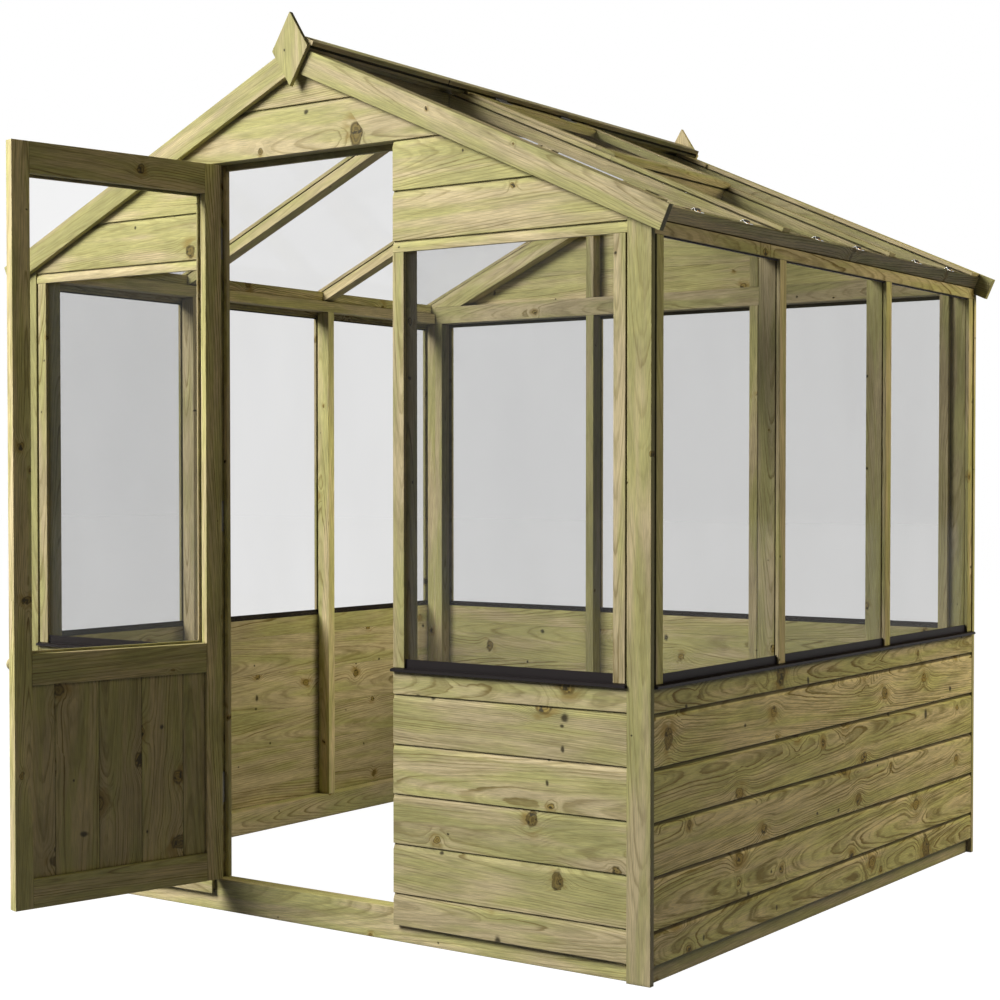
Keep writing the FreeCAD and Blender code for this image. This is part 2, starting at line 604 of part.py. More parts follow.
def vent():
    y0, y1 = VENT_Y
    s0, s1 = VENT_TOP_S, VENT_END_S
    bay = (MID_STUDS[0] + RAFTER_W / 2, MID_STUDS[1] - RAFTER_W / 2)
    t0 = s1 - TRIMMER_BACK
    emit("vent_trimmer", [slope_box(1, t0, t0 + TRIMMER_W, -RAFTER_H, 0, bay[0], bay[1])])
    emit("vent_hinge_board", [slope_box(1, PANE_TOP_S, HINGE_BOARD_S, 0, VENT_T, y0, y1)])

    low = s1 - VENT_RAIL
    in0, in1 = y0 + VENT_STILE, y1 - VENT_STILE
    glass = slope_box(1, s0 + VENT_STILE - VENT_REBATE, low + VENT_REBATE, VENT_T - GLASS_T, VENT_T,
                      in0 - VENT_REBATE, in1 + VENT_REBATE)
    stiles = [slope_box(1, s0, low, 0, VENT_T, y0, in0), slope_box(1, s0, low, 0, VENT_T, in1, y1)]
    emit("vent_stiles", [one.cut(glass).Solids[0] for one in stiles])
    top_rail = slope_box(1, s0, s0 + VENT_STILE, 0, VENT_T, in0, in1)
    lip = s1 + VENT_LIP
    drip = [(low, 0), (s1, 0), (s1, VENT_LIP_H), (lip, VENT_LIP_H), (lip, VENT_T - VENT_DRIP / 2),
            (lip - VENT_DRIP, VENT_T), (low, VENT_T)]
    bottom_rail = slope_prism(1, drip, y0, y1)
    emit("vent_rails", [one.cut(glass).Solids[0] for one in (top_rail, bottom_rail)])
    emit("vent_pane", [glass])
    vent_hinges()


def door_box(u0, u1, w0, w1, z0, z1):
    """u across the shut door from its hinge edge, w inward from its outer face."""
    return box(DOOR_X + u0, DOOR_X + u1, DOOR_Y + w0, DOOR_Y + w1, z0, z1)


def board_edge(u, way, jointed):
    """One edge of a panel board in (u, w), from its outer to its inner face."""
    w0, w1 = PANEL_SET, PANEL_SET + PANEL_T
    if not jointed:
        return [(u, w0), (u, w1)]
    mid = (w0 + w1) / 2
    t0, t1 = mid - PANEL_TONGUE_T / 2, mid + PANEL_TONGUE_T / 2
    shy = u - way * PANEL_V
    return [(shy, w0), (u, w0 + PANEL_V), (u, t0), (u + PANEL_TONGUE, t0), (u + PANEL_TONGUE, t1), (u, t1),
            (u, w1 - PANEL_V), (shy, w1)]


def door_boards():
    """Upright tongued boards of the lower panel, chamfered at each joint on both faces."""
    z0, z1 = DOOR_RAILS[0][1], DOOR_RAILS[1][0]
    left, right = DOOR_STILE, DOOR_W - DOOR_STILE
    whole = int((right - left - COVER / 2) // COVER)
    first = (left + right - whole * COVER) / 2
    edges = [left] + [first + COVER * k for k in range(whole + 1)] + [right]
    boards = []
    for u0, u1 in zip(edges, edges[1:]):
        outline = board_edge(u0, -1, u0 > left) + board_edge(u1, 1, u1 < right)[::-1]
        points = [V(DOOR_X + u, DOOR_Y + w, z0) for u, w in outline]
        boards.append(poly_prism(points, V(0, 0, z1 - z0)))
    return boards


def door_beads(z0, z1, u0, u1):
    """Chamfered beads planted outside round the pane."""
    wide, out, c = DOOR_BEAD_W, BEAD_OUT, BEAD_CHAMFER
    section = [(0, 0), (wide, 0), (wide, c - out), (wide - c, -out), (c, -out), (0, c - out)]
    beads = []
    for u in (u0, u1 - wide):
        points = [V(DOOR_X + u + a, DOOR_Y + w, z0) for a, w in section]
        beads.append(poly_prism(points, V(0, 0, z1 - z0)))
    for z in (z0, z1 - wide):
        points = [V(DOOR_X + u0 + wide, DOOR_Y + w, z + a) for a, w in section]
        beads.append(poly_prism(points, V(u1 - u0 - 2 * wide, 0, 0)))
    return beads


def knob():
    """Turned wooden knob on the outer face of the shutting stile."""
    shares = [(0, 0), (0.46, 0), (0.46, 0.36), (0.98, 0.68), (0.98, 0.93), (0.86, 1), (0, 1)]
    centre = V(DOOR_X + DOOR_W - DOOR_STILE / 2, DOOR_Y, SILL_Z + KNOB_RISE)
    points = [centre + V(KNOB_R * r, -KNOB_L * out, 0) for r, out in shares]
    face = Part.Face(Part.makePolygon(points + points[:1]))
    return face.revolve(centre, V(0, -1, 0), 360).Solids[0]


def door_hinges():
    """Leaves drawn for the shut door: the fixed one on the jamb, the other on the stile."""
    r, bore = DOOR_KNUCKLE_R, DOOR_PIN_R + PIN_PLAY
    fixed_spans, moving_spans = knuckle_spans(DOOR_HINGE_L)
    near = r + LEAF_PLAY
    far = near + DOOR_LEAF_W
    edge = DOOR_HINGE_GAP / 2
    skin = edge - DOOR_LEAF_T
    fixed = hinge_leaf((-edge, -skin, near, far), (-edge, -skin, 0, near), fixed_spans, r, bore, DOOR_HINGE_L)
    moving = hinge_leaf((skin, edge, near, far), (skin, edge, 0, near), moving_spans, r, bore, DOOR_HINGE_L)
    pin = tube(DOOR_PIN_R, 0, DOOR_HINGE_L)
    feet = [V(DOOR_PIN[0], DOOR_PIN[1], z) for z in DOOR_HINGE_Z]
    emit("door_hinge_jamb_leaves", [fixed.translated(at) for at in feet])
    emit("door_hinge_pins", [pin.translated(at) for at in feet])
    return [moving.translated(at) for at in feet]


def door():
    inner0, inner1 = DOOR_STILE, DOOR_W - DOOR_STILE
    p0, p1 = inner0 - DOOR_REBATE, inner1 + DOOR_REBATE
    pz0, pz1 = DOOR_RAILS[1][1] - DOOR_REBATE, DOOR_RAILS[2][0] + DOOR_REBATE
    glass = door_box(p0, p1, 0, GLASS_T, pz0, pz1)
    stiles = [door_box(0, inner0, 0, DOOR_T, DOOR_FOOT, DOOR_TOP),
              door_box(inner1, DOOR_W, 0, DOOR_T, DOOR_FOOT, DOOR_TOP)]
    rails = [door_box(inner0, inner1, 0, DOOR_T, r0, r1) for r0, r1 in DOOR_RAILS]
    nodes = {
        "door_stiles": [one.cut(glass).Solids[0] for one in stiles],
        "door_rails": [one.cut(glass).Solids[0] for one in rails],
        "door_boards": door_boards(),
        "door_pane": [glass],
        "door_beads": door_beads(pz0 - BEAD_LAP, pz1 + BEAD_LAP, p0 - BEAD_LAP, p1 + BEAD_LAP),
        "door_knob": [knob()],
        "door_hinge_door_leaves": door_hinges(),
    }
    pivot = V(DOOR_PIN[0], DOOR_PIN[1], 0)
    for name, solids in nodes.items():
        emit(name, [one.rotated(pivot, V(0, 0, 1), -DOOR_OPEN_DEG) for one in solids])


def emit(name, solids):
    """Write one node; the model's origin is under the middle of the front base rail."""
    moved = [one.translated(V(0, -ORIGIN_Y, 0)) for one in solids]
    Part.makeCompound(moved).exportStep("parts/" + name + ".step")


os.makedirs("parts", exist_ok=True)
walls()
roof()
vent()
door()
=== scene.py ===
import json
import math
import random
from collections import namedtuple
from functools import partial

import bmesh
import bpy
from mathutils import Matrix, Vector

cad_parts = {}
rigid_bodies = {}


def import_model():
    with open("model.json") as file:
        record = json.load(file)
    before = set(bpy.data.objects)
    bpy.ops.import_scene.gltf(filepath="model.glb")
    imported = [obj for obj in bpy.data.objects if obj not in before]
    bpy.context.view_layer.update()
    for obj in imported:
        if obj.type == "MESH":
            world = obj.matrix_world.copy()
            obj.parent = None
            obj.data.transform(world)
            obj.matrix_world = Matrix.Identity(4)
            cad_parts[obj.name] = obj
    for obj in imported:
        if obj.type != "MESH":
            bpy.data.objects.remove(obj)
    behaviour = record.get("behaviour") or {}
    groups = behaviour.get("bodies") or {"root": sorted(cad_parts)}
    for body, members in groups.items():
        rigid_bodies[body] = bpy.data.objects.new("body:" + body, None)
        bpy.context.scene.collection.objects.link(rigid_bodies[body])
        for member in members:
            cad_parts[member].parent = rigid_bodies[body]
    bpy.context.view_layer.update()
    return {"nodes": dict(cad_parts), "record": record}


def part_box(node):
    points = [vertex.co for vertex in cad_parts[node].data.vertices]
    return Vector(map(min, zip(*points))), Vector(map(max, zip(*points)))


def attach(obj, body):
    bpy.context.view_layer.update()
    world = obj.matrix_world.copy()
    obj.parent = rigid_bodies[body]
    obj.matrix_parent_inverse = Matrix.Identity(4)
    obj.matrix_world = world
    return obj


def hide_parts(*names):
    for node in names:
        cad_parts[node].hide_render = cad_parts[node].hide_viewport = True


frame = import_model()

BODY_OF = {node: body for body, nodes in frame["record"]["behaviour"]["bodies"].items()
           for node in nodes}
JOINTS = {joint["name"]: joint for joint in frame["record"]["behaviour"]["joints"]}

# Directions
RIGHT = Vector((1.0, 0.0, 0.0))
BACK = Vector((0.0, 1.0, 0.0))
UP = Vector((0.0, 0.0, 1.0))
ROOF_SLOPE = 0.45
ROOF_UP = Vector((ROOF_SLOPE, 0.0, 1.0)).normalized()  # square to the right slope
DOOR_SHUTS = math.radians(JOINTS["door_swing"]["range_deg"][1])
DOOR_TURN = Matrix.Rotation(-DOOR_SHUTS, 3, "Z")  # from the shut door to the open one

# Timber: softened arrises, and how the grain is laid on each board
ARRIS = 0.0012
ARRIS_STEPS = 2
ROUND_PROFILE = 0.5
FLAT_ANGLE = math.radians(1.0)
SHARP_ANGLE = math.radians(20.0)
SIDE_FACE = 0.3
END_FACE = 0.7
ROUND_TO = 6
GRAIN_RUN = 40.0
PITH_ACROSS = 1.4
PITH_NEAR = 0.02
PITH_FAR = 0.07
TONE_SPREAD = 0.06
WARM_SPREAD = 0.25
FIGURE_SPREAD = (0.75, 1.1)
RING_SPREAD = (0.8, 1.2)
KNOT_SPREAD = (0.8, 1.1)
# Depth behind a board's face within which its joints get painted shade
RECESS_MOST = 0.0095
PINE_DATA = (("grain", "FLOAT_VECTOR", "POINT"), ("tone", "FLOAT_VECTOR", "POINT"),
             ("figure", "FLOAT_VECTOR", "POINT"), ("end_grain", "FLOAT", "FACE"),
             ("recess", "FLOAT", "POINT"))

# A board's look: knot size, share of places with a knot, figure, ring spacing, warmth,
# brightness (painted light, set piece by piece for how light falls on it), and how much painted
# shade its joints get
Look = namedtuple("Look", "knot share figure ring warm bright joint", defaults=(0.5, 1.0, 1.0))
PLAIN_LOOK = Look(0.5, 0.4, 0.75, 1.0)
BOARD_LOOK = {
    "side_cladding_right": Look(1.15, 0.75, 2.1, 1.0, 0.55, 1.34, 1.8),
    "side_cladding_left": Look(0.85, 0.4, 1.0, 1.2, 0.5, 0.86),
    "rear_cladding": Look(0.85, 0.4, 1.0, 1.2, 0.4, 0.93),
    "front_cladding_left": Look(1.1, 0.55, 0.85, 1.2, 0.5, 1.04, 0.82),
    "front_cladding_right": Look(1.1, 0.55, 0.85, 1.2, 0.5, 1.04, 0.82),
    "front_gable_boards": Look(0.85, 0.4, 0.7, 1.2, 0.42, 1.12, 0.68),
    "rear_gable_boards": Look(0.9, 0.5, 0.8, 1.2, 0.4, 0.98, 0.8),
    "door_boards": Look(0.95, 0.65, 1.3, 1.3, 0.5, 0.98, 2.6),
    "door_rails": Look(0.6, 0.5, 1.6, 1.2, 0.5, 1.16),
    "door_stiles": Look(0.5, 0.5, 1.2, 1.2, 0.5, 1.32),
    "corner_trims_front": Look(0.35, 0.4, 0.55, 1.0, 0.2, 0.9),
    "corner_trims_rear": Look(0.35, 0.4, 0.55, 1.0, 0.2),
    "base_rail_front": Look(0.4, 0.4, 1.0, 1.0, 0.5, 1.32),
    "gable_rafters": Look(0.35, 0.3, 0.65, 1.0, 0.3),
    "bargeboards_front": Look(0.5, 0.3, 0.55, 1.0, 0.22, 0.94),
    "bargeboards_rear": Look(0.5, 0.3, 0.55, 1.0, 0.22),
    "eaves_rails": Look(0.9, 0.6, 1.6, 1.2, 0.45, 1.4),
    "ridge_caps": Look(0.5, 0.4, 0.75, 1.0, 0.4, 1.35),
    "side_top_battens": Look(0.6, 0.5, 1.1, 1.0, 0.6, 0.79),
    "door_knob": Look(0.0, 0.0, 0.7, 1.0, 0.5, 1.1, 0.0),
}
OUTWARD = {  # the way that jointed boards face
    "side_cladding_right": RIGHT,
    "side_cladding_left": -RIGHT,
    "rear_cladding": BACK,
    "rear_gable_boards": BACK,
    "front_cladding_left": -BACK,
    "front_cladding_right": -BACK,
    "front_gable_boards": -BACK,
    "door_boards": DOOR_TURN @ BACK,
}
GRAIN_ALONG = {  # boards whose grain isn't along their longest edge
    "finial_front": UP,
    "finial_rear": UP,
    "front_gable_boards": RIGHT,
    "rear_gable_boards": RIGHT,
}

GLASS_NODES = ("front_panes", "rear_panes", "side_panes", "roof_panes", "vent_pane", "door_pane")
HINGE_NODES = ("door_hinge_jamb_leaves", "door_hinge_door_leaves", "door_hinge_pins",
               "vent_hinge_fixed", "vent_hinge_moving", "vent_hinge_pins")
OTHER_NODES = ("sills", "pane_clips", "clip_screws", "door_knob")

# Noise patterns: cycles a metre along the grain, across it and into the board (or along x, y
# and z where a finish has no grain), detail, and roughness
Pattern = namedtuple("Pattern", "stretch detail rough", defaults=(2.0, 0.5))
NOISE_MEAN = (0.5, 0.5, 0.5)
WANDER = Pattern((0.9, 3.6, 3.6), 1.0)
WAVER = Pattern((11.0, 70.0, 70.0), 3.0, 0.6)
SWAY = Pattern((3.4, 10.0, 10.0), 1.0)
YEARS = Pattern((2.2, 16.0, 16.0), 1.0)
FIBRE = Pattern((26.0, 1100.0, 1100.0), 2.0, 0.6)
STREAK = Pattern((5.0, 230.0, 30.0), 3.0, 0.7)
CLOUD = Pattern((7.0, 30.0, 30.0), 3.0, 0.6)
WARM_PATCH = Pattern((3.2, 27.0, 27.0))
RESIN = Pattern((16.0, 34.0, 34.0))
KNOT_STIR = Pattern((40.0, 80.0, 80.0), 1.0)
KNOT_RINGS = Pattern((60.0, 120.0, 120.0), 1.0)
KNOT_CRACK = Pattern((70.0, 95.0, 95.0), 1.0)
DUST = Pattern((3.0, 3.0, 1.4), 4.0, 0.6)
SILL_CLOUD = Pattern((6.0, 6.0, 6.0), 3.0)
SILL_STIPPLE = Pattern((900.0, 900.0, 900.0))
STEEL_BLOOM = Pattern((140.0, 140.0, 140.0), 3.0)
STEEL_DRAWN = Pattern((900.0, 900.0, 60.0))
ALUMINIUM_ROLLED = Pattern((60.0, 1100.0, 60.0))
BRASS_PATINA = Pattern((420.0, 420.0, 420.0), 3.0)
FLOOR_CLOUD = Pattern((0.6, 0.6, 0.6), 3.0)

# Eased ranges: where each begins and ends, and the values there (0 and 1 if none are given)
YEAR_SHOWS = (0.34, 0.66, 0.3, 1.0)
STREAK_SHOWS = (0.45, 0.72, 0.0, 0.55)
FIBRE_SHADE = (0.25, 0.75, 0.74, 1.22)
FIBRE_ROUGH = (0.25, 0.75, 0.6, 0.82)
CLOUD_SHADE = (0.28, 0.72, 0.87, 1.11)
WARM_SHOWS = (0.0, 1.0)
RESIN_SHOWS = (0.42, 0.6)
HALO = (2.8, 0.9)
HEART = (1.15, 0.85)
KNOT_RING_SHOWS = (0.2, 0.9, 0.0, 0.75)
KNOT_RIM = (0.62, 0.95, 0.0, 0.85)
KNOT_SPIKE = (0.55, 1.0, 1.0, 0.5)
CRACK_SHOWS = (0.52, 0.64)
CRACK_REACH = (1.0, 0.7)
DEAD_SHOWS = (0.55, 0.85, 0.0, 0.45)
PIN_KNOT_EDGE = (1.6, 0.5)
END_SHADE = (0.0, 1.0, 1.0, 0.7)
JOINT_SHADE = (0.0034, 0.005, 0.0, 0.8)
NOOK_SHADE = (0.72, 0.3, 0.0, 0.7)
DUST_SHOWS = (0.3, 0.75)
DUST_ROUGH = (0.3, 0.7, 0.04, 0.12)
SILL_ROUGH = (0.3, 0.7, 0.42, 0.6)
STEEL_ROUGH = (0.3, 0.7, 0.3, 0.5)
ALUMINIUM_ROUGH = (0.3, 0.7, 0.28, 0.46)
PATINA_SHOWS = (0.35, 0.65)
BRASS_ROUGH = (0.3, 0.7, 0.26, 0.45)
DOME_FADE = (-0.15, 0.8, 0.006, 0.09)

# Treated pine: rings, knots, relief and painted shade
RING_GAP = 0.0046
TAPER = 0.045
WANDER_BY = 0.045
WAVER_BY = 0.0034
SWAY_BY = 0.012
LATE_STOPS = ((0.0, 0.2), (0.1, 0.0), (0.66, 0.06), (0.86, 0.9), (0.94, 1.0), (1.0, 0.2))
YEAR_VARIES = (0.9, 0.3)  # times the year's draw, then added
WARM_VARIES = (3.6, -1.8)  # times the noise, then added
FIGURE_MOST = 1.5
KnotKind = namedtuple("KnotKind", "cell wobble smallest largest")
KNOTS = KnotKind((0.25, 0.115), 0.011, 0.006, 0.017)
PIN_KNOTS = KnotKind((0.12, 0.055), 0.005, 0.0025, 0.006)
PIN_KNOT_SHARE = 0.13
KNOT_LEAST = 0.0002
PIN_KNOT_LEAST = 0.0001
KNOT_OVAL = 0.8
KNOT_TURNS = 180.0
SWELL = 1.5
SWELL_FADE = -0.18
HALO_COVERS = 0.8
KNOT_COVERS = 0.92
PIN_KNOT_COVERS = 0.9
NOOK_REACH = 0.016
NOOK_SAMPLES = 4
LINE_RELIEF = -0.6
FIBRE_RELIEF = 0.55
STREAK_RELIEF = -0.5
HEART_RELIEF = 0.35
PINE_BUMP = (0.6, 0.0007)  # strength and distance
PINE_SPECULAR = 0.25
EARLY_GREEN = (0.50, 0.472, 0.19, 1.0)
EARLY_TAN = (0.615, 0.515, 0.295, 1.0)
LATE_BROWN = (0.185, 0.13, 0.03, 1.0)
STREAK_OLIVE = (0.21, 0.165, 0.048, 1.0)
PAINTED_SHADE_BROWN = (0.03, 0.022, 0.01, 1.0)
RESIN_BROWN = (0.30, 0.20, 0.042, 1.0)
KNOT_PALE = (0.36, 0.26, 0.06, 1.0)
KNOT_DARK = (0.105, 0.07, 0.012, 1.0)
KNOT_BLACK = (0.022, 0.016, 0.004, 1.0)

# Glazing, sills and metal
PANE_GREY = (0.09, 0.095, 0.095, 1.0)
PANE_TINT = (0.13, 0.146)  # how much of it shows, clean and dusty
DOOR_PANE_TINT = (0.05, 0.062)
PANE_IOR = 1.5
SILL_BROWNS = ((0.008, 0.006, 0.006, 1.0), (0.019, 0.014, 0.015, 1.0))
SILL_BUMP = (0.3, 0.0002)
SILL_SPECULAR = 0.2
STEEL_GREYS = ((0.20, 0.19, 0.17, 1.0), (0.36, 0.35, 0.32, 1.0))
ALUMINIUM_GREYS = ((0.62, 0.63, 0.63, 1.0), (0.8, 0.8, 0.79, 1.0))
METAL_BUMP = (0.15, 0.0001)
BRASS_YELLOWS = ((0.55, 0.26, 0.06, 1.0), (0.78, 0.47, 0.14, 1.0))

# Fixings and the knob
SCREW_SIDES = 20
SCREW_RINGS = 10
CLIP_SCREW_R = 0.005
CLIP_SCREW_H = 0.0026
SPIN_SEED = 7
UNDERSIDE = ((4.0, 4.0, 2.0), (0.0, 0.0, -1.0))  # size and place of a cut, in radii and heights
SLOTS = (((1.1, 0.3, 0.9), (0.0, 0.0, 0.95)), ((0.3, 1.1, 0.9), (0.0, 0.0, 0.95)))
LEAF_SCREW_R = 0.0031
LEAF_SCREW_H = 0.0004
LEAF_SCREWS = ((0.17, 0.003), (0.5, -0.003), (0.83, 0.003))  # share of length, step off the middle
KNUCKLE_CLEAR = 0.006
HINGE_SCREWS = (  # piece, hinge leaf, joint, the pin's direction, the screws' direction, body
    ("jamb_leaf_screws", "door_hinge_jamb_leaves", "door_swing", UP, RIGHT, "frame"),
    ("vent_board_screws", "vent_hinge_fixed", "vent_lift", BACK, ROOF_UP, "frame"),
    ("vent_leaf_screws", "vent_hinge_moving", "vent_lift", BACK, ROOF_UP, "vent"),
    ("door_leaf_screws", "door_hinge_door_leaves", "door_swing", UP, DOOR_TURN @ -RIGHT, "door"),
)
CLIP_REACH = (-0.009, 0.018)  # front and back of a clip from its screw
CLIP_T = 0.0012
CLIP_BOW = ((0.0, 0.0), (0.0015, 0.0), (0.0026, 0.0012), (0.004, 0.0036), (0.0055, 0.0046),
            (0.007, 0.0044), (0.0086, 0.0028), (0.0098, 0.0008),
            (0.0112, 0.0))  # along the slope, above the pane
HEAD_STRIP_H = 0.0036
HEAD_STRIP_D = 0.0042
HEAD_STRIP_EDGE = 0.0008
KNOB_SIDES = 40
KNOB_PROFILE = ((0.45, 0.0), (0.43, 0.1), (0.42, 0.24), (0.45, 0.35), (0.58, 0.46), (0.77, 0.56),
                (0.91, 0.66), (0.96, 0.76), (0.93, 0.86), (0.82, 0.94), (0.6, 0.985), (0.34, 1.0),
                (0.12, 1.0))  # shares of the radius and of the length

# View and light
CAMERA_AT = (2.9961, -3.4647, 1.0571)
CAMERA_YAW = math.radians(35.28)
CAMERA_PITCH = math.radians(1.40)
LENS_MM = 68.97
SENSOR_MM = 36.0
SHIFT = (0.0049, 0.0277)
WHITE = (1.0, 1.0, 1.0, 1.0)
DOME_COLOUR = (1.0, 0.94, 0.82, 1.0)
FLOOR_HALF = 40.0
FLOOR_GREYS = ((0.09, 0.09, 0.09, 1.0), (0.11, 0.11, 0.11, 1.0))
FLOOR_ROUGH = 0.8
FLOOR_GLOW = 0.985
Lamp = namedtuple("Lamp", "at target size watts colour")
KEY_LAMP = Lamp((-3.2, -4.4, 4.9), (0.0, 0.2, 1.0), (3.4, 3.4), 650.0, (1.0, 0.985, 0.96))
FILL_LAMP = Lamp((2.7, 3.1, 2.3), (0.9, 1.3, 0.6), (1.8, 1.8), 72.0, (1.0, 0.89, 0.6))
INNER_LAMP = Lamp((-0.1, 1.48, 1.35), (-0.7, 1.55, 0.1), (0.45, 0.45), 7.8, (1.0, 0.95, 0.85))
DOOR_LAMP = Lamp((2.6, -1.6, 2.6), (-0.2, -0.2, 1.0), (0.5, 0.5), 9.0, (1.0, 0.9, 0.66))
SHADED_SIDE = ("door_", "front_studs", "front_rails", "front_beads", "corner_trims_front",
               "finial_front", "bargeboards_front", "rear_studs", "eaves_rails", "ridge_")
INNER_SIDE = ("rear_cladding", "side_cladding_left", "side_studs", "base_rails", "wall_plates",
              "eaves_rails", "sills")
DOOR_SIDE = ("door_", "corner_trims_front", "eaves_rails")


def add_node(tree, kind, sockets, **settings):
    """A new node with its settings, each socket joined to another or given its value."""
    made = tree.nodes.new(kind)
    for name, value in settings.items():
        setattr(made, name, value)
    for key, value in sockets.items():
        if isinstance(value, bpy.types.NodeSocket):
            tree.links.new(value, made.inputs[key])
        else:
            made.inputs[key].default_value = value
    return made


def map_range(value, low, high, start=0.0, end=1.0):
    """The sockets of a Map Range node."""
    return {"Value": value, "From Min": low, "From Max": high, "To Min": start, "To Max": end}


class Shader:
    """A material's node tree, with short ways to add nodes and join them."""

    def __init__(self, name):
        self.material = bpy.data.materials.new(name)
        self.material.use_nodes = True
        self.tree = self.material.node_tree
        self.tree.nodes.clear()

    def add(self, kind, sockets, **settings):
        return add_node(self.tree, "ShaderNode" + kind, sockets, **settings)

    def attribute(self, name):
        return self.add("Attribute", {}, attribute_name=name)

    def object_point(self):
        return self.add("TexCoord", {}).outputs["Object"]

    def math(self, operation, *values):
        return self.add("Math", dict(enumerate(values)), operation=operation).outputs[0]

    def vector(self, operation, *values):
        made = self.add("VectorMath", dict(enumerate(values)), operation=operation)
        return made.outputs["Value" if operation == "LENGTH" else "Vector"]

    def scaled(self, colour, share):
        sockets = {"Vector": colour, "Scale": share}
        return self.add("VectorMath", sockets, operation="SCALE").outputs["Vector"]

    def split(self, value):
        return self.add("SeparateXYZ", {"Vector": value}).outputs

    def combined(self, *values):
        return self.add("CombineXYZ", dict(enumerate(values))).outputs[0]

    def noise(self, point, pattern, output="Fac"):
        sockets = {"Vector": self.vector("MULTIPLY", point, pattern.stretch), "Scale": 1.0,
                   "Detail": pattern.detail, "Roughness": pattern.rough}
        return self.add("TexNoise", sockets).outputs[output]

    def span(self, value, *ends):
        """Value eased along one of the ranges above."""
        sockets = map_range(value, *ends)
        return self.add("MapRange", sockets, interpolation_type="SMOOTHSTEP").outputs["Result"]

    def mix(self, share, first, second):
        return self.add("Mix", {0: share, 6: first, 7: second}, data_type="RGBA").outputs[2]

    def ramp(self, value, stops):
        made = self.add("ValToRGB", {"Fac": value})
        line = made.color_ramp.elements
        while len(line) < len(stops):
            line.new(1.0)
        for point, (at, grey) in zip(line, stops):
            point.position = at
            point.color = (grey, grey, grey, 1.0)
        return made.outputs["Color"]

    def bump(self, height, strength, distance):
        sockets = {"Height": height, "Strength": strength, "Distance": distance}
        return self.add("Bump", sockets).outputs["Normal"]

    def finish(self, **sockets):
        names = {key.replace("_", " "): value for key, value in sockets.items()}
        surface = self.add("BsdfPrincipled", names).outputs["BSDF"]
        self.add("OutputMaterial", {"Surface": surface})
        return self.material


def knot_field(shader, grain, kind, share):
    """Distance to the nearest knot, its radius (zero where a cell has none), and how dead it is."""
    long, wide = kind.cell
    cells = shader.vector("MULTIPLY", grain, (1 / long, 1 / wide, 0.0))
    seeds = shader.add("TexVoronoi", {"Vector": cells, "Scale": 1.0}, voronoi_dimensions="2D")
    chance, growth, dead = shader.split(seeds.outputs["Color"])
    away = shader.vector("SUBTRACT", cells, seeds.outputs["Position"])
    away = shader.vector("MULTIPLY", away, (long * KNOT_OVAL, wide, 0.0))
    spike = shader.combined(1.0, shader.span(dead, *KNOT_SPIKE), 0.0)
    away = shader.vector("MULTIPLY", away, spike)
    stir = shader.vector("SUBTRACT", shader.noise(grain, KNOT_STIR, "Color"), NOISE_MEAN)
    stir = shader.vector("MULTIPLY", stir, (kind.wobble, kind.wobble, 0.0))
    gap = shader.vector("LENGTH", shader.vector("ADD", away, stir))
    there = shader.math("LESS_THAN", chance, share)
    size = shader.math("MULTIPLY_ADD", growth, kind.largest - kind.smallest, kind.smallest)
    return gap, shader.math("MULTIPLY", there, size), dead


